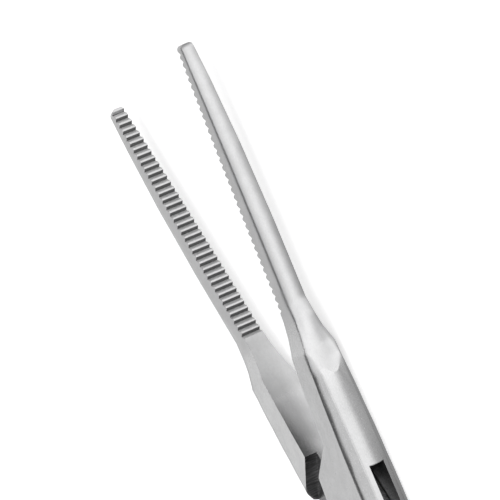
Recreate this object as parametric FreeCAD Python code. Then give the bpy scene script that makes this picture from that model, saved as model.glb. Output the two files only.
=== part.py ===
import FreeCAD, Part
import math
import os

V = FreeCAD.Vector

# Straight box-lock artery forceps with half-serrated jaws, lying open on their side.
# Frame: +Y runs from the pivot to the jaw tips, +Z is the pivot pin's axis and points up,
# the origin lies on that axis in the plane the forceps rest on. Millimetres and degrees.

# Overall
overall_length = 140.0      # ring ends to jaw tips, closed
jaw_reach = 48.9            # pivot axis to jaw tips
opening = 18.8              # angle between the halves as they lie
closing_gap = 0.06          # left between the closed jaws, so that they never overlap

# Jaws: flat inner side, flat flanks, half-round back
tip_width = 1.24            # across the jaw, along the pin
tip_flank = 0.68            # flat flank, from the inner side to the round back
jaw_width = 1.94            # at the root of the serrations
jaw_flank = 1.63
jaw_fullness = 2.5          # 1 for an even taper, more for one that comes late, near the tip
tip_rounding = 0.38
neck_start = 24.8           # pivot to the point where the jaw starts to swell
box_front = 18.4            # pivot to the point where it is a little thicker than the box
neck_swell_width = 2.45     # growth over that neck, along the pin
neck_swell_flank = 1.6      # and across
neck_flattening = 7.8       # of the round back, at the box
root_overlap = 0.2          # of a neck and the block that carries it on inside the box

# Serrations
tooth_pitch = 0.68
tooth_count = 36
groove_depth = 0.34
groove_steep_run = 0.17     # along the jaw, of a groove's steep wall
groove_slow_run = 0.32      # and of its slow wall
first_groove = 0.43         # tip to the first groove of the jaw with the tongue

# Box lock
box_thickness = 4.1
box_width = 8.8             # at the pivot
box_end_width = 7.1         # where the jaws and the shanks leave it
box_bevel = 1.08            # width of the bevels along both sides, across
box_edge_radius = 0.85      # between a face and a bevel
box_face_flat = 6.0         # pivot to the line where the faces start to fall towards the jaws
box_face_fall = 0.32        # of each face, at the box front
box_side_height = 2.5       # sides between the two bevels
box_side_bow = 0.25
wall_line = 12.1            # where the slanting ends of the walls cross the centre line
wall_slant = 41.0           # of those ends, from straight across
shoulder_gap = 0.15         # between them and the other half's shoulders, on the centre line
shoulder_slant = 36.0       # of the shoulders
slot_height = 1.5
slot_radius = 10.1
tongue_run_on = 0.3         # of the tongue into the shoulders that it joins
tongue_play = 0.06          # between the tongue and each wall
tongue_end_play = 0.1       # between the round end of the tongue and that of the slot

# Pivot pin, riveted flush with the box
pin_diameter = 2.6
rivet_diameter = 3.3
rivet_depth = 0.35
pin_play = 0.03             # all round, where the tongue turns on it
pin_seat_play = 0.01        # all round, where it sits in the walls

# Shanks
shank_start = 19.5          # pivot to the point where the shank has its plain section
shank_root = 14.0           # pivot to the point where it is a little thicker than the box
shank_height = 3.6
shank_end_height = 3.2
shank_flank = 1.7           # flat flanks, from the inner side to the bowed back
shank_bulge = 1.1
shank_swell = 0.9           # growth towards the box, along the pin
shank_swell_flank = 1.9     # and across
shank_spread = 9.2          # inner side of the shank from the centre line, at the ring
shank_bow = 1.5             # 1 for straight shanks, more for shanks that bend outwards

# Finger rings
ring_inner_width = 19.5
ring_inner_length = 24.5
ring_wire = 4.0             # round section
ring_end_radius = 9.8       # middle line of the two short arcs of the oval
ring_gap = 2.4              # between the closed rings
ring_overlap = 3.6          # how far the shank runs into the ring

# Ratchet
ratchet_height = 1.55
ratchet_width = 4.6         # along the shank
ratchet_reach = 3.6         # past the centre line, closed
ratchet_to_ring = 1.4
ratchet_embed = 1.5         # how far the bar runs into its shank
ratchet_pitch = 1.7
ratchet_depth = 0.45
ratchet_teeth = 3
ratchet_play = 0.1          # between the two rows of teeth
ratchet_rounding = 0.5

middle = box_thickness / 2.0
side_play = closing_gap / 2.0
ring_centre_x = ring_gap / 2.0 + ring_wire + ring_inner_width / 2.0
ring_centre_y = jaw_reach - overall_length + ring_wire + ring_inner_length / 2.0
ring_front = ring_centre_y + ring_inner_length / 2.0 + ring_wire
box_run_on = 1.18           # reach of the box's outside, in lengths from the pivot to a neck
grinding_run_on = 1.14      # reach of what is ground to it
beyond = 20.0               # reach of cutting blocks past the box


def prism(points, half_height):
    """Upright block over a closed outline given as (x, y) pairs, centred on the middle plane."""
    corners = [V(x, y, -half_height) for x, y in points]
    outline = Part.makePolygon(corners + corners[:1])
    return Part.Face(outline).extrude(V(0, 0, 2 * half_height))


def block(x0, x1, y0, y1, half_height):
    """Straight block centred on the middle plane."""
    return prism([(x0, y0), (x1, y0), (x1, y1), (x0, y1)], half_height)


def mirrored(shape):
    """Copy on the other side of the centre line."""
    return shape.mirror(V(0, 0, 0), V(1, 0, 0))


def bowed_section(y, inner, flank, bulge, half_height):
    """Outline across the length: flat inner side, two flanks and a bowed back."""
    a = V(inner, y, -half_height)
    b = V(inner, y, half_height)
    c = V(inner + flank, y, half_height)
    d = V(inner + flank + bulge, y, 0)
    e = V(inner + flank, y, -half_height)
    return Part.Wire([
        Part.makeLine(a, b),
        Part.makeLine(b, c),
        Part.Arc(c, d, e).toShape(),
        Part.makeLine(e, a),
    ])


def box_side_outline():
    """Half of the outline across the closed box at the pivot: faces, bevels, bowed side."""
    half_width = box_width / 2.0
    corner = half_width - box_bevel
    side = half_width - box_side_bow
    side_top = box_side_height / 2.0
    outline = [V(corner, 0, -middle), V(-half_width, 0, -middle), V(-half_width, 0, middle),
               V(corner, 0, middle), V(side, 0, side_top)]
    lower = V(side, 0, -side_top)
    edges = [Part.makeLine(p, q) for p, q in zip(outline, outline[1:])]
    edges.append(Part.Arc(outline[-1], V(half_width, 0, 0), lower).toShape())
    edges.append(Part.makeLine(lower, outline[0]))
    return Part.Wire(edges)


def between_faces(reach):
    """Space between the two faces of the box: flat, then falling in an arc towards the jaws."""
    fallen_over = box_front - box_face_flat
    radius = (fallen_over ** 2 + box_face_fall ** 2) / (2 * box_face_fall)
    upper = []
    for part in (0, 0.5, 1):
        run = part * (reach - box_face_flat)
        upper.append(V(-beyond, box_face_flat + run,
                       middle - radius + math.sqrt(radius ** 2 - run ** 2)))
    lower = [V(p.x, p.y, -p.z) for p in upper]
    back = [V(-beyond, -reach, middle), V(-beyond, -reach, -middle)]
    profile = Part.Wire([
        Part.makeLine(back[0], upper[0]),
        Part.Arc(*upper).toShape(),
        Part.makeLine(upper[2], lower[2]),
        Part.Arc(*reversed(lower)).toShape(),
        Part.makeLine(lower[0], back[1]),
        Part.makeLine(back[1], back[0]),
    ])
    return Part.Face(profile).extrude(V(2 * beyond, 0, 0))


def box_envelope():
    """Outside of the closed box, its long sides swept round and carried on past the necks."""
    narrowing = (box_width - box_end_width) / 2.0
    radius = (box_front ** 2 + narrowing ** 2) / (2 * narrowing)
    reach = box_run_on * box_front
    axis = V(box_width / 2.0 - radius, 0, 0)
    sweep = 2 * math.degrees(math.asin(reach / radius))
    outline = Part.Face(box_side_outline())
    outline.rotate(axis, V(0, 0, 1), -sweep / 2)
    side = outline.revolve(axis, V(0, 0, 1), sweep)
    box = side.common(mirrored(side)).common(between_faces(reach))
    along = [edge for edge in box.Edges
             if edge.BoundBox.YLength > edge.BoundBox.XLength
             and all(abs(v.Z) > box_side_height / 2 + 1e-3 for v in edge.Vertexes)
             and edge.BoundBox.ZLength < box_face_fall * 2]
    return box.makeFillet(box_edge_radius, along)


def slanting_strip(line, slant):
    """Block between the slanting lines that cross the centre line at plus and minus line."""
    rise = beyond * math.tan(math.radians(slant))
    return prism([(-beyond, -line - rise), (beyond, -line + rise),
                  (beyond, line + rise), (-beyond, line - rise)], beyond)


def jaw_section(y):
    """Section of the jaw on the +X side: half-round behind its flanks, flatter near the box."""
    along = min(1.0, (jaw_reach - y) / (jaw_reach - neck_start))
    taper = 1 - (1 - along) ** jaw_fullness
    swell = max(0.0, (neck_start - y) / (neck_start - box_front))
    width = tip_width + (jaw_width - tip_width) * taper + neck_swell_width * swell ** 2
    flank = tip_flank + (jaw_flank - tip_flank) * taper + neck_swell_flank * swell
    bulge = width / 2 / (1 + neck_flattening * swell ** 3)
    return bowed_section(y, -side_play, flank + side_play, bulge, width / 2)


def jaw_blank():
    """Jaw on the +X side from its rounded tip down into the box, before the serrations."""
    serrated = jaw_reach - neck_start
    neck = neck_start - box_front
    places = [jaw_reach - part * serrated for part in (0, 0.15, 0.4, 0.7, 1)]
    places += [neck_start - part * neck for part in (0.25, 0.45, 0.65, 0.85, 1.2)]
    jaw = Part.makeLoft([jaw_section(y) for y in places], True, True)
    jaw = jaw.cut(block(-beyond, side_play, 0, jaw_reach + beyond, beyond))
    end = [edge for edge in jaw.Edges
           if all(abs(v.Y - jaw_reach) < 1e-4 for v in edge.Vertexes)
           and max(v.X for v in edge.Vertexes) > side_play + 1e-3]
    jaw = jaw.makeFillet(tip_rounding, end)
    root = block(side_play, beyond, 0, places[-1] + root_overlap, box_thickness)
    return jaw.fuse(root)


def serrations(first, tip_run, pivot_run):
    """Cutters for the grooves across the inner side of the jaw on the +X side."""
    floor = side_play + groove_depth
    tip_reach = tip_run * floor / groove_depth
    pivot_reach = pivot_run * floor / groove_depth
    grooves = []
    for count in range(tooth_count):
        y = jaw_reach - first - count * tooth_pitch
        grooves.append(prism([(0, y + tip_reach), (floor, y), (0, y - pivot_reach)], box_thickness))
    return Part.makeCompound(grooves)


def shank_inner(y):
    """Distance of the shank's inner side from the centre line."""
    start = shank_root
    end = -ring_front + ring_overlap
    along = max(0.0, (-y - start) / (end - start))
    return side_play + shank_spread * along ** shank_bow


def shank_section(y):
    """Section of the shank on the +X side."""
    end = -ring_front + ring_overlap
    along = max(0.0, (-y - shank_start) / (end - shank_start))
    swell = max(0.0, (shank_start + y) / (shank_start - shank_root)) ** 2
    height = shank_height + (shank_end_height - shank_height) * along + shank_swell * swell
    flank = shank_flank + shank_swell_flank * swell
    return bowed_section(y, shank_inner(y), flank, shank_bulge, height / 2)


def shank_blank():
    """Shank on the +X side from inside the box to inside the ring."""
    end = ring_front - ring_overlap
    swell = shank_start - shank_root
    length = -end - shank_start
    places = [-shank_root - part * swell for part in (-0.3, 0.4, 1)]
    places += [-shank_start - part * length for part in (0.25, 0.5, 0.75, 1)]
    shank = Part.makeLoft([shank_section(y) for y in places], True, True)
    root = block(side_play, beyond, -shank_root, 0, box_thickness)
    return shank.fuse(root)


def finger_ring():
    """Oval ring on the +X side: round wire along four arcs that run on smoothly."""
    long_half = (ring_inner_length + ring_wire) / 2
    short_half = (ring_inner_width + ring_wire) / 2
    end_offset = long_half - ring_end_radius
    side_radius = (end_offset ** 2 + short_half ** 2 - ring_end_radius ** 2)
    side_radius /= 2 * (short_half - ring_end_radius)
    side_offset = side_radius - short_half
    end_angle = 2 * math.degrees(math.atan2(side_offset, end_offset))
    centre = V(ring_centre_x, ring_centre_y, 0)
    arcs = []
    for side in (1, -1):
        arcs.append((V(0, side * end_offset, 0), side * ring_end_radius, 90 - end_angle / 2, end_angle))
        arcs.append((V(-side * side_offset, 0, 0), side * side_radius,
                     end_angle / 2 - 90, 180 - end_angle))
    pieces = []
    for offset, radius, first, swept in arcs:
        axis = centre + offset
        section = Part.makeCircle(ring_wire / 2, axis + V(radius, 0, 0), V(0, 1, 0))
        section.rotate(axis, V(0, 0, 1), first)
        pieces.append(Part.Face(Part.Wire([section])).revolve(axis, V(0, 0, 1), swept))
    return pieces[0].fuse(pieces[1:])


def ratchet_bar():
    """Bar of the shank on the +X side, below the middle plane, with its teeth facing up."""
    top = -ratchet_play / 2
    base = top - ratchet_depth
    near = ring_front + ratchet_to_ring
    root = shank_inner(near + ratchet_width / 2) + ratchet_embed
    profile = [(root, top - ratchet_height), (root, base)]
    for count in range(ratchet_teeth, 0, -1):
        foot = -ratchet_reach + count * ratchet_pitch
        profile += [(foot, base), (foot, top), (foot - ratchet_pitch, base)]
    profile.append((-ratchet_reach, top - ratchet_height))
    corners = [V(x, near, z) for x, z in profile]
    distinct = [p for p, q in zip(corners, corners[1:] + corners[:1]) if p.distanceToPoint(q) > 1e-6]
    bar = Part.Face(Part.makePolygon(distinct + distinct[:1])).extrude(V(0, ratchet_width, 0))
    end = [edge for edge in bar.Edges
           if all(abs(v.X + ratchet_reach) < 1e-4 for v in edge.Vertexes)
           and abs(edge.Vertexes[0].Z - edge.Vertexes[-1].Z) > 1e-3]
    return bar.makeFillet(ratchet_rounding, end)


def ground_away():
    """What grinding the box to shape takes off the two halves."""
    reach = grinding_run_on * box_front
    around = block(-beyond, beyond, -reach, reach, beyond)
    return around.cut(box_envelope())


def pin_shape(play):
    """Riveted pin, or with some play the seat that it fills."""
    radius = pin_diameter / 2 + play
    head = rivet_diameter / 2 + play
    half = [V(0, 0, -middle), V(head, 0, -middle), V(radius, 0, rivet_depth - middle),
            V(radius, 0, middle - rivet_depth), V(head, 0, middle), V(0, 0, middle)]
    outline = Part.Face(Part.makePolygon(half + half[:1]))
    return outline.revolve(V(0, 0, 0), V(0, 0, 1), 360)


def lying(shape, turn):
    """The half as it lies: turned about the pivot and lifted onto the rest plane."""
    shape.rotate(V(0, 0, 0), V(0, 0, 1), turn)
    shape.translate(V(0, 0, middle))
    return shape.removeSplitter()


def female_half():
    """Half with the box: its two walls, the slot between them, jaw, shank, bar and ring."""
    grooves = serrations(first_groove + tooth_pitch / 2, groove_slow_run, groove_steep_run)
    jaw = jaw_blank().cut(grooves)
    walls = slanting_strip(wall_line, wall_slant)
    walls = walls.common(block(-beyond, beyond, -box_front, box_front, box_thickness))
    half = jaw.fuse([mirrored(shank_blank()), walls]).cut(ground_away())
    slot = Part.makeCylinder(slot_radius, slot_height, V(0, 0, -slot_height / 2))
    slot = slot.fuse([block(-beyond, side_play, 0, beyond, slot_height / 2),
                      block(-side_play, beyond, -beyond, 0, slot_height / 2)])
    half = half.cut(slot).cut(pin_shape(pin_seat_play))
    upper_bar = mirrored(ratchet_bar()).mirror(V(0, 0, 0), V(0, 0, 1))
    half = half.fuse([mirrored(finger_ring()), upper_bar])
    return lying(half, -opening / 2)


def male_half():
    """Half with the tongue that turns in the box, with its jaw, shank, bar and ring."""
    grooves = serrations(first_groove, groove_steep_run, groove_slow_run)
    jaw = mirrored(jaw_blank().cut(grooves))
    line = wall_line + shoulder_gap
    gap = slanting_strip(line, shoulder_slant)
    bodies = jaw.fuse(shank_blank()).cut(ground_away()).cut(gap)
    thickness = slot_height - 2 * tongue_play
    tongue = Part.makeCylinder(slot_radius - tongue_end_play, thickness, V(0, 0, -thickness / 2))
    tongue = tongue.fuse([block(-beyond, -side_play, 0, beyond, thickness / 2),
                          block(side_play, beyond, -beyond, 0, thickness / 2)])
    filling = slanting_strip(line + tongue_run_on, shoulder_slant)
    tongue = tongue.common(box_envelope()).common(filling)
    half = bodies.fuse([tongue, finger_ring(), ratchet_bar()])
    half = half.cut(Part.makeCylinder(pin_diameter / 2 + pin_play, box_thickness, V(0, 0, -middle)))
    return lying(half, opening / 2)


def pivot_pin():
    """Pin through both walls and the tongue."""
    pin = pin_shape(0)
    pin.translate(V(0, 0, middle))
    return pin


def main():
    os.makedirs("parts", exist_ok=True)
    pieces = {
        "female_half": female_half(),
        "male_half": male_half(),
        "pivot_pin": pivot_pin(),
    }
    for name, shape in pieces.items():
        shape.exportStep("parts/" + name + ".step")
        print(name, shape.isValid(), len(shape.Solids), round(shape.Volume, 1), shape.BoundBox)


main()
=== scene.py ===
import math

import bpy
from mathutils import Matrix, Vector


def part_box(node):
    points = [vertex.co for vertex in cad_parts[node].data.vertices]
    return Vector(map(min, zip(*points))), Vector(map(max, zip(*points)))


# Looks of the box-lock artery forceps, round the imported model: satin steel, floor, light, camera.
# Lengths are in metres and in the model's own frame, angles in degrees. Where a name holds two
# reaches, the effect eases in or out between them. Each half has its own frame for its finish:
# x across from its inner side, y along it from the pin to the tips, z up from its middle plane.

# Camera, as the photograph was taken
FRAME_SIZE = 500                       # side of the photograph
LOOK_AT = (0.0, 0.02913, 0.00205)      # point on the camera's axis
CAMERA_AZIMUTH = 61.67                 # from +Z towards +X, seen from the tips
CAMERA_TILT = -6.867                   # towards the tips
CAMERA_ROLL = -26.62
CAMERA_DISTANCE = 0.3579
CAMERA_FOCAL = 4080.0                  # in pixels of the photograph
AXIS_PIXEL = (245.0, 269.3)            # where the camera's axis meets the photograph
SENSOR = 36.0
CLIP_START = 0.01
CLIP_END = 50.0

# Studio light by direction: degrees from straight up towards +X, and how bright
STUDIO_STRENGTH = 2.0
STUDIO = [(-170, 0.2), (-120, 0.25), (-90, 0.5), (-72, 0.4), (-66, 0.6), (-61.5, 0.94),
          (-57.5, 0.03), (-10, 0.03), (-4, 0.4), (2, 0.45), (32, 0.46), (52, 0.55), (64, 0.74),
          (80, 0.9), (96, 0.92), (110, 0.8), (124, 0.6), (145, 0.45), (165, 0.31)]
# Light from below the horizon: how far towards the tips, and how bright
LOWER = [(-1.0, 0.01), (-0.6, 0.01), (-0.45, 0.2), (-0.12, 0.3), (0.02, 0.74), (0.2, 0.9),
         (0.5, 0.85), (1.0, 0.45)]
HORIZON = (-0.62, -0.26)               # heights between which it gives way to the studio
LOWER_FADE = (110, 195)                # degrees round from straight up, where it fades
LOWER_FADED = 0.3                      # to this share
# Soft light in front of the tips
FRONT_ALONG = (0.14, 0.25)             # how far towards the tips it starts
FRONT_ACROSS = (-0.35, -0.1)           # and how far across
FRONT_LEVEL = (0.45, 0.8, 0.86, 0.25)  # it falls from bright to dim straight before the tips
# Light table
FLOOR_SIZE = 8.0
FLOOR_DROP = 0.00002                   # under the instrument
FLOOR_WHITE = 0.92
FLOOR_ROUGHNESS = 0.9
FLOOR_SHINE = 0.1
FLOOR_GLOW = 0.5

# The instrument, as packed
HALF_OPENING = 9.4                     # each half from the centre line
SLOT_HALF_HEIGHT = 0.00077
SLOT_RADIUS = 0.01016
LOCK_REACH = 0.0164                    # from the pin to the far ends of walls and shoulders
INNER_SIDE = 0.00006                   # reach of the inner sides from the centre line
TEETH = (0.0243, 0.0485)               # along the half
GROOVE_REACH = (0.00004, 0.0004)       # from the centre line
BOX_REACH = (0.0178, 0.0190)           # along the half, from the box to the neck
NECK_REACH = (0.0215, 0.0240)          # and from the neck to the jaw
NECK_BEND = (0.0236, 0.0246, 0.0256, 0.0268)   # round the bend where the neck starts
BEVELS_ACROSS = (0.0024, 0.0030)       # the box's bevels lie beyond this reach
BEVELS_UP = (0.0008, 0.0011)           # and this height
ROUND_BACK = (0.0004, 0.0012)          # the backs are rounded beyond this depth
FACING_UP = 0.5                        # a face is level where its normal rises more
FACING_ALONG = 0.4                     # and an end where it leans more along the half
FACING_BACK = (0.02, 0.4)              # and a back where it leans across

# Rounding of edges, and shape of the backs, in the shading alone
EDGE_ROUNDING = 0.00004
BOX_ROUNDING = 0.0003                  # at the box's bevels
NECK_ROUNDING = 0.00055                # on the backs of necks and jaws, blended by hand
NECK_ROUNDING_INSIDE = 0.1             # share of it by the inner side
BEND_ROUNDING = 0.0009
ROUNDING_SAMPLES = 6
BACK_FLATTENING = 0.52                 # the round backs are ground flatter
NECK_FLATTENING = 0.85                 # share of that on the necks

# Marks in the steel: size, stretch along the half's axes, detail
GRAIN = (0.00011, (1, 1.6, 1), 3)
BRUSHING = (0.000088, (1, 14, 1), 2)
UPRIGHT_MARKS = (0.00011, (1, 1, 12), 2)
MOTTLE = (0.0011, (1, 1.5, 1), 4)
MARK_ROUGHNESS = 0.6
MARK_MEAN = 0.5

# Tone of the steel
STEEL = (0.55, 0.55, 0.553)
# dark faces in the lock: their own machined finish, plus painted shade of the recesses they lie in
AS_MACHINED_AND_SHADED = (0.17, 0.17, 0.173)
SLOT_SHARE = 0.72                      # the slot's painted shade is a little lighter than the shoulders'
PLAIN_TONE = 0.735
GRAIN_TONE = 0.24
MOTTLE_TONE = 0.24
BRUSHING_TONE = 0.06
EDGE_GLINT_TONE = 0.25                       # brightness of painted glints along the edges
EDGE_GLINT_MATCH = (0.995, 0.9)              # how well normals agree at plain faces and at edges
EDGE_GLINT_MARKS = (0.5, 0.62)               # which of the brushing marks show there
STREAK_TONE = 2.5                      # of marks on the machined faces
STEEP_WALL_SHADE = 0.20                      # painted shade on the grooves' steep walls, which face the pin
BOX_TONE = (0.0155, 0.0195, 0.84)      # the box's upright faces are darker than the rest, away from the necks
INNER_LOCK_SHADE = (0.0235, 0.0255, 0.79)    # the inner side is darker away from the teeth: painted shade towards the lock
INNER_SHADE_END = 0.0243                     # along the half, where the painted shade by the lock ends
INNER_SHADE_GROWTH = 143.0                   # how fast it darkens from there, per metre
INNER_SHADE_DEPTH = 0.37
INNER_SHADE_CLEARING = (0.0125, 0.0142, 0.5)         # and where it is weaker again, at the lock
INNER_SHADE_MIDDLE = 0.75                    # its share on the middle plane
INNER_SHADE_RISE = 700.0                     # and how that grows, per metre up
NECK_HIGHLIGHT = 0.16                     # painted highlight: the necks' lower backs are brighter
NECK_HIGHLIGHT_ALONG = (0.0235, 0.0262)
NECK_HIGHLIGHT_UP = (-0.0016, 0.0004)
NECK_RIM = 0.0062                      # down to a rim this far below the middle plane
NECK_RIM_RISE = 0.25                   # at the pin, and rising along the half
NECK_RIM_SOFTNESS = 0.0003
NECK_RIM_SHADE = -0.36                  # and painted shade below it

# Roughness and relief of the steel
PLAIN_ROUGHNESS = 0.17
GRAIN_ROUGHNESS = 0.1
MARK_EXTRA = 0.06
MACHINED_EXTRA = 0.15
JAW_EXTRA = 0.06
BACK_EXTRA = 0.11
WALL_EXTRA = 0.2                       # on the grooves' walls
WALL_DULLING = -0.6                    # which also shine less
RELIEF = 0.00001
RELIEF_STRENGTH = 0.22
BRUSHING_RELIEF = 0.7
MARK_RELIEF = 0.5

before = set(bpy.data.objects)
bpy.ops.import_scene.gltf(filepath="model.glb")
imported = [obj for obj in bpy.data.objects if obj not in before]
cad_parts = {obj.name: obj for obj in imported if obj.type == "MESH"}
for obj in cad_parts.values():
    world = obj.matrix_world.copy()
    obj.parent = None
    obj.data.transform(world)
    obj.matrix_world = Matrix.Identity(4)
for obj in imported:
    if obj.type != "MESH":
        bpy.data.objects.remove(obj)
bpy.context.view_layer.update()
pin_low, pin_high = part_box("pivot_pin")
MIDDLE_HEIGHT = (pin_low[2] + pin_high[2]) / 2         # middle plane of the forceps


def place_camera():
    """Camera at the photograph's place, turn and lens."""
    azimuth = math.radians(CAMERA_AZIMUTH)
    tilt = math.radians(CAMERA_TILT)
    roll = math.radians(CAMERA_ROLL)
    back = Vector((math.sin(azimuth) * math.cos(tilt), math.sin(tilt),
                   math.cos(azimuth) * math.cos(tilt)))
    level = Vector((0, 1, 0)).cross(back).normalized()
    upright = back.cross(level)
    right = math.cos(roll) * level + math.sin(roll) * upright
    up = math.cos(roll) * upright - math.sin(roll) * level
    data = bpy.data.cameras.new("camera")
    data.sensor_width = SENSOR
    data.lens = CAMERA_FOCAL / FRAME_SIZE * SENSOR
    data.shift_x = 0.5 - AXIS_PIXEL[0] / FRAME_SIZE
    data.shift_y = AXIS_PIXEL[1] / FRAME_SIZE - 0.5
    data.clip_start = CLIP_START
    data.clip_end = CLIP_END
    camera = bpy.data.objects.new("camera", data)
    turn = Matrix((right, up, back)).transposed().to_4x4()
    camera.matrix_world = Matrix.Translation(Vector(LOOK_AT) + back * CAMERA_DISTANCE) @ turn
    bpy.context.scene.collection.objects.link(camera)
    bpy.context.scene.camera = camera


def connect(tree, sockets, values):
    """Set each socket to its number, or link it to its socket."""
    for socket, value in zip(sockets, values):
        if isinstance(value, bpy.types.NodeSocket):
            tree.links.new(value, socket)
        else:
            socket.default_value = value


def math_node(tree, operation, *values):
    """Math node on numbers or sockets; returns its output."""
    node = tree.nodes.new("ShaderNodeMath")
    node.operation = operation
    connect(tree, node.inputs, values)
    return node.outputs[0]


def vector_node(tree, operation, *values):
    """Vector math node on vectors or sockets; returns its vector output."""
    node = tree.nodes.new("ShaderNodeVectorMath")
    node.operation = operation
    connect(tree, node.inputs, values)
    return node.outputs["Vector"]


def product(tree, first, *others):
    """Product of numbers and sockets."""
    for other in others:
        first = math_node(tree, "MULTIPLY", first, other)
    return first


def weighted_sum(tree, base, *terms):
    """A number or socket, plus each value of the terms times its weight."""
    for value, weight in terms:
        base = math_node(tree, "MULTIPLY_ADD", value, weight, base)
    return base


def reach(tree, value):
    """Distance from zero."""
    return math_node(tree, "ABSOLUTE", value)


def outside(tree, mask):
    """1 where a mask is 0."""
    return math_node(tree, "SUBTRACT", 1.0, mask)


def clamped(tree, value):
    """Value kept from 0 to 1."""
    return math_node(tree, "MAXIMUM", 0.0, math_node(tree, "MINIMUM", value, 1.0))


def between(tree, value, low, high, from_value=0.0, to_value=1.0):
    """Value eased from one level to another while the input goes from low to high."""
    node = tree.nodes.new("ShaderNodeMapRange")
    node.interpolation_type = "SMOOTHSTEP"
    node.inputs["From Min"].default_value = low
    node.inputs["From Max"].default_value = high
    node.inputs["To Min"].default_value = from_value
    node.inputs["To Max"].default_value = to_value
    tree.links.new(value, node.inputs["Value"])
    return node.outputs["Result"]


def within(tree, value, low, high):
    """1 where a value lies between two others."""
    return product(tree, math_node(tree, "GREATER_THAN", value, low),
                   math_node(tree, "LESS_THAN", value, high))


def components(tree, vector):
    """Sockets of a vector's x, y and z."""
    node = tree.nodes.new("ShaderNodeSeparateXYZ")
    tree.links.new(vector, node.inputs[0])
    return node.outputs


def levels(tree, value, steps):
    """Smooth curve of grey levels over a value from 0 to 1."""
    node = tree.nodes.new("ShaderNodeValToRGB")
    ramp = node.color_ramp
    ramp.interpolation = "B_SPLINE"
    while len(ramp.elements) > 1:
        ramp.elements.remove(ramp.elements[0])
    ramp.elements[0].position = steps[0][0]
    for place, _ in steps[1:]:
        ramp.elements.new(place)
    for element, (_, level) in zip(ramp.elements, steps):
        element.color = (level, level, level, 1)
    tree.links.new(value, node.inputs["Fac"])
    return node.outputs["Color"]


def mixed(tree, share, first, second):
    """Grey level between two others."""
    node = tree.nodes.new("ShaderNodeMix")
    connect(tree, [node.inputs[name] for name in ("Factor", "A", "B")], (share, first, second))
    return node.outputs["Result"]


def straightened(tree, vector, turn):
    """Vector of one half, turned back to the centre line."""
    node = tree.nodes.new("ShaderNodeVectorRotate")
    node.rotation_type = "Z_AXIS"
    node.inputs["Angle"].default_value = math.radians(-turn)
    tree.links.new(vector, node.inputs["Vector"])
    return node.outputs[0]


def own_place(tree, turn):
    """Place in the half's own frame."""
    place = tree.nodes.new("ShaderNodeTexCoord").outputs["Object"]
    return straightened(tree, vector_node(tree, "SUBTRACT", place, (0, 0, MIDDLE_HEIGHT)), turn)


def own_normal(tree, turn):
    """Surface normal in the half's own frame."""
    plain = tree.nodes.new("ShaderNodeNewGeometry")
    local = tree.nodes.new("ShaderNodeVectorTransform")
    local.vector_type = "NORMAL"
    local.convert_from = "WORLD"
    local.convert_to = "OBJECT"
    tree.links.new(plain.outputs["True Normal"], local.inputs[0])
    return straightened(tree, local.outputs[0], turn)


def marks(tree, place, size, stretch, detail):
    """Noise with marks of a size in metres, stretched along the half's own axes."""
    scale = [1 / (size * factor) for factor in stretch]
    node = tree.nodes.new("ShaderNodeTexNoise")
    node.inputs["Scale"].default_value = 1.0
    node.inputs["Detail"].default_value = detail
    node.inputs["Roughness"].default_value = MARK_ROUGHNESS
    tree.links.new(vector_node(tree, "MULTIPLY", place, scale), node.inputs["Vector"])
    return node.outputs["Fac"]


class Surface:
    """Places, marks and masks on the surface of one half."""

    def __init__(self, tree, turn):
        self.tree = tree
        self.turn = turn
        self.place = own_place(tree, turn)
        self.x, self.y, self.z = components(tree, self.place)
        across, self.lean, rise = components(tree, own_normal(tree, turn))
        self.level = math_node(tree, "GREATER_THAN", reach(tree, rise), FACING_UP)
        self.upright = outside(tree, self.level)
        self.grain = marks(tree, self.place, *GRAIN)
        self.brushing = marks(tree, self.place, *BRUSHING)
        self.upright_marks = marks(tree, self.place, *UPRIGHT_MARKS)
        self.mottle = marks(tree, self.place, *MOTTLE)
        self.past_box = between(tree, self.y, *BOX_REACH)
        self.jaws = between(tree, self.y, *NECK_REACH)
        self.rounded = between(tree, reach(tree, self.x), *ROUND_BACK)
        backs = weighted_sum(tree, product(tree, self.past_box, NECK_FLATTENING),
                             (self.jaws, 1 - NECK_FLATTENING))
        self.on_back = product(tree, backs, between(tree, reach(tree, across), *FACING_BACK))
        self.machined_and_shaded = self.machined_and_shaded_faces()
        self.walls, self.shaded_steep_walls = self.groove_walls()

    def machined_and_shaded_faces(self):
        """1 on the ends of walls and tongue, less in the slot: dark machined faces, darkened also
        as painted shade of the lock's recesses.
        """
        tree = self.tree
        node = tree.nodes.new("ShaderNodeVectorMath")
        node.operation = "LENGTH"
        tree.links.new(vector_node(tree, "MULTIPLY", self.place, (1, 1, 0)), node.inputs[0])
        radius = node.outputs["Value"]
        slot = product(tree, math_node(tree, "LESS_THAN", reach(tree, self.z), SLOT_HALF_HEIGHT),
                       math_node(tree, "LESS_THAN", radius, SLOT_RADIUS), SLOT_SHARE)
        ends = product(tree, math_node(tree, "GREATER_THAN", reach(tree, self.lean), FACING_ALONG),
                       self.upright, math_node(tree, "LESS_THAN", radius, LOCK_REACH))
        return math_node(tree, "MAXIMUM", slot, ends)

    def groove_walls(self):
        """Masks of the walls of the serrations, and of the steeper ones among them, which face the
        pin and get painted shade.
        """
        tree = self.tree
        walls = product(tree, within(tree, reach(tree, self.x), *GROOVE_REACH),
                        within(tree, self.y, *TEETH), self.upright)
        facing = product(tree, self.lean, math.copysign(1, self.turn))
        return walls, product(tree, walls, math_node(tree, "LESS_THAN", facing, 0.0))


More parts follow.
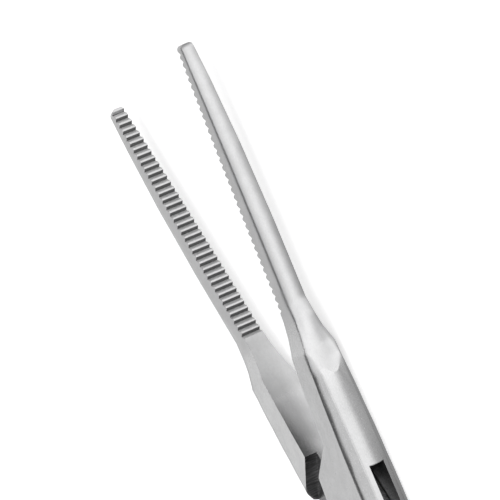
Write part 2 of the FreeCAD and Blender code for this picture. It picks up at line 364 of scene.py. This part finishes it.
def rounding_radius(surface):
    """Radius of the hand-blended edges, for the place on the half."""
    tree = surface.tree
    bend = product(tree, between(tree, surface.y, *NECK_BEND[:2]),
                   between(tree, surface.y, *NECK_BEND[2:], 1.0, 0.0))
    back = weighted_sum(tree, NECK_ROUNDING, (bend, BEND_ROUNDING - NECK_ROUNDING))
    depth = between(tree, reach(tree, surface.x), *ROUND_BACK, NECK_ROUNDING_INSIDE, 1.0)
    bevels = product(tree, between(tree, reach(tree, surface.x), *BEVELS_ACROSS),
                     between(tree, reach(tree, surface.z), *BEVELS_UP))
    at_box = weighted_sum(tree, EDGE_ROUNDING, (bevels, BOX_ROUNDING - EDGE_ROUNDING))
    beyond = math_node(tree, "SUBTRACT", product(tree, back, depth), at_box)
    return weighted_sum(tree, at_box, (surface.past_box, beyond))


def shaped_normals(surface):
    """Normal with rounded edges and flatter backs, and where painted glints lie on the edges."""
    tree = surface.tree
    rounded = tree.nodes.new("ShaderNodeBevel")
    rounded.samples = ROUNDING_SAMPLES
    tree.links.new(rounding_radius(surface), rounded.inputs["Radius"])
    flatter = tree.nodes.new("ShaderNodeCombineXYZ")
    height = weighted_sum(tree, 1.0, (surface.on_back, BACK_FLATTENING - 1))
    connect(tree, flatter.inputs, (1.0, 1.0, height))
    bent = vector_node(tree, "MULTIPLY", rounded.outputs[0], flatter.outputs[0])
    match = tree.nodes.new("ShaderNodeVectorMath")
    match.operation = "DOT_PRODUCT"
    plain = tree.nodes.new("ShaderNodeNewGeometry").outputs["Normal"]
    connect(tree, match.inputs, (rounded.outputs[0], plain))
    # painted glints along the edges, where the rounded normal parts from the plain one, picked by
    # the brushing marks
    edge = between(tree, match.outputs["Value"], *EDGE_GLINT_MATCH)
    edge_glints = product(tree, edge, between(tree, surface.brushing, *EDGE_GLINT_MARKS))
    return vector_node(tree, "NORMALIZE", bent), edge_glints


def inner_painted_shade(surface):
    """Tone of the inner side: painted shade between the halves, darker between the teeth and the
    lock.
    """
    tree = surface.tree
    depth = product(tree, math_node(tree, "SUBTRACT", INNER_SHADE_END, surface.y), INNER_SHADE_GROWTH)
    share = weighted_sum(tree, INNER_SHADE_MIDDLE, (surface.z, INNER_SHADE_RISE))
    lock_shade = product(tree, clamped(tree, depth), clamped(tree, share),
                    between(tree, surface.y, *INNER_SHADE_CLEARING, 1.0))
    tone = product(tree, weighted_sum(tree, 1.0, (lock_shade, -INNER_SHADE_DEPTH)),
                   between(tree, surface.y, *INNER_LOCK_SHADE, 1.0))
    inner = product(tree, math_node(tree, "LESS_THAN", reach(tree, surface.x), INNER_SIDE),
                    surface.upright)
    return mixed(tree, inner, 1.0, tone)


def neck_painted_highlight(surface):
    """Painted highlight on the necks' lower backs, down to a rim with painted shade below it."""
    tree = surface.tree
    neck = product(tree, surface.past_box, between(tree, surface.y, *NECK_HIGHLIGHT_ALONG, 1.0, 0.0))
    lower = product(tree, between(tree, surface.z, *NECK_HIGHLIGHT_UP, 1.0, 0.0), surface.rounded)
    above_rim = math_node(tree, "ADD", surface.z,
                          weighted_sum(tree, NECK_RIM, (surface.y, -NECK_RIM_RISE)))
    highlight_and_rim_shade = between(tree, above_rim, -NECK_RIM_SOFTNESS, NECK_RIM_SOFTNESS,
                     NECK_RIM_SHADE, NECK_HIGHLIGHT)
    return product(tree, neck, lower, highlight_and_rim_shade)


def steel_tone(surface, edge_glints):
    """Factor on the metal's colour: its own tone, with painted shade, highlights and glints."""
    tree = surface.tree
    tone = weighted_sum(tree, PLAIN_TONE, (surface.grain, GRAIN_TONE),
                        (surface.mottle, MOTTLE_TONE), (surface.brushing, BRUSHING_TONE),
                        (edge_glints, EDGE_GLINT_TONE))
    # painted shade on the inner sides, between the halves near the lock
    tone = product(tree, tone, inner_painted_shade(surface))
    # painted highlight on the necks' lower backs, and painted shade below their rim
    tone = math_node(tree, "ADD", tone, neck_painted_highlight(surface))
    darker_box_sides = math_node(tree, "MAXIMUM", surface.level, between(tree, surface.y, *BOX_TONE, 1.0))
    # painted shade on the grooves' walls that face the pin
    tone = product(tree, tone, darker_box_sides,
                   weighted_sum(tree, 1.0, (surface.shaded_steep_walls, STEEP_WALL_SHADE - 1)))
    streaks = product(tree, surface.machined_and_shaded,
                      math_node(tree, "SUBTRACT", surface.upright_marks, MARK_MEAN))
    return weighted_sum(tree, tone, (streaks, STREAK_TONE))


def steel_colour(surface, edge_glints):
    """Colour of the ground steel and of the machined faces, whose darkness is partly painted shade,
    with their tone.
    """
    tree = surface.tree
    metal = tree.nodes.new("ShaderNodeMix")
    metal.data_type = "RGBA"
    metal.inputs["A"].default_value = (*STEEL, 1)
    metal.inputs["B"].default_value = (*AS_MACHINED_AND_SHADED, 1)
    tree.links.new(surface.machined_and_shaded, metal.inputs["Factor"])
    toned = tree.nodes.new("ShaderNodeVectorMath")
    toned.operation = "SCALE"
    tree.links.new(metal.outputs["Result"], toned.inputs[0])
    tree.links.new(steel_tone(surface, edge_glints), toned.inputs["Scale"])
    return toned.outputs[0]


def fine_relief(surface, normal):
    """Normal with the relief of the marks."""
    tree = surface.tree
    bump = tree.nodes.new("ShaderNodeBump")
    bump.inputs["Strength"].default_value = RELIEF_STRENGTH
    bump.inputs["Distance"].default_value = RELIEF
    height = weighted_sum(tree, surface.grain, (surface.brushing, BRUSHING_RELIEF),
                          (surface.upright_marks, MARK_RELIEF))
    tree.links.new(height, bump.inputs["Height"])
    tree.links.new(normal, bump.inputs["Normal"])
    return bump.outputs[0]


def satin_steel(name, turn):
    """Finely ground steel: grain, brushing along the half, soft mottling, painted glints on the
    edges, and painted shade and highlights.
    """
    material = bpy.data.materials.new(name)
    material.use_nodes = True
    tree = material.node_tree
    inputs = tree.nodes["Principled BSDF"].inputs
    surface = Surface(tree, turn)
    normal, edge_glints = shaped_normals(surface)
    roughness = weighted_sum(tree, PLAIN_ROUGHNESS, (surface.grain, GRAIN_ROUGHNESS),
                             (surface.upright_marks, MARK_EXTRA),
                             (surface.machined_and_shaded, MACHINED_EXTRA), (surface.jaws, JAW_EXTRA),
                             (surface.on_back, BACK_EXTRA), (surface.walls, WALL_EXTRA))
    metallic = weighted_sum(tree, 1.0, (surface.walls, WALL_DULLING))
    tree.links.new(steel_colour(surface, edge_glints), inputs["Base Color"])
    tree.links.new(roughness, inputs["Roughness"])
    tree.links.new(metallic, inputs["Metallic"])
    tree.links.new(fine_relief(surface, normal), inputs["Normal"])
    return material


def make_floor():
    """White light table under the object."""
    bpy.ops.mesh.primitive_plane_add(size=FLOOR_SIZE, location=(0, 0, -FLOOR_DROP))
    floor = bpy.context.object
    floor.name = "floor"
    floor.visible_glossy = False
    material = bpy.data.materials.new("floor_paint")
    material.use_nodes = True
    inputs = material.node_tree.nodes["Principled BSDF"].inputs
    inputs["Base Color"].default_value = (FLOOR_WHITE, FLOOR_WHITE, FLOOR_WHITE, 1)
    inputs["Roughness"].default_value = FLOOR_ROUGHNESS
    inputs["Specular IOR Level"].default_value = FLOOR_SHINE
    inputs["Emission Color"].default_value = (1, 1, 1, 1)
    inputs["Emission Strength"].default_value = FLOOR_GLOW
    floor.data.materials.append(material)


def make_world():
    """Studio round the object: soft lights and dark gaps in bands along its length."""
    world = bpy.data.worlds.new("studio")
    world.use_nodes = True
    tree = world.node_tree
    direction = tree.nodes.new("ShaderNodeTexCoord").outputs["Generated"]
    x, y, z = components(tree, direction)
    angle = math_node(tree, "ARCTAN2", x, z)
    turns = math_node(tree, "ADD", math_node(tree, "DIVIDE", angle, 2 * math.pi), 0.5)
    studio = levels(tree, turns, [(0.5 + degrees / 360, level) for degrees, level in STUDIO])
    lower = levels(tree, weighted_sum(tree, 0.5, (y, 0.5)),
                   [(0.5 + 0.5 * place, level) for place, level in LOWER])
    around = math_node(tree, "FLOORED_MODULO", angle, 2 * math.pi)
    fade = between(tree, around, *map(math.radians, LOWER_FADE), 1.0, LOWER_FADED)
    below = between(tree, z, *HORIZON, 1.0, 0.0)
    light = mixed(tree, below, studio, product(tree, lower, fade))
    ahead = product(tree, between(tree, y, *FRONT_ALONG), between(tree, x, *FRONT_ACROSS))
    light = mixed(tree, ahead, light, between(tree, y, *FRONT_LEVEL))
    background = tree.nodes["Background"]
    background.inputs["Strength"].default_value = STUDIO_STRENGTH
    tree.links.new(light, background.inputs["Color"])
    bpy.context.scene.world = world
    bpy.context.scene.view_settings.view_transform = "Standard"


def dress():
    """Steel on each piece. The pin is ground with the box, so it shares the box's frame."""
    for name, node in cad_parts.items():
        turn = HALF_OPENING if name == "male_half" else -HALF_OPENING
        node.data.materials.clear()
        node.data.materials.append(satin_steel("steel_" + name, turn))


place_camera()
make_world()
make_floor()
dress()
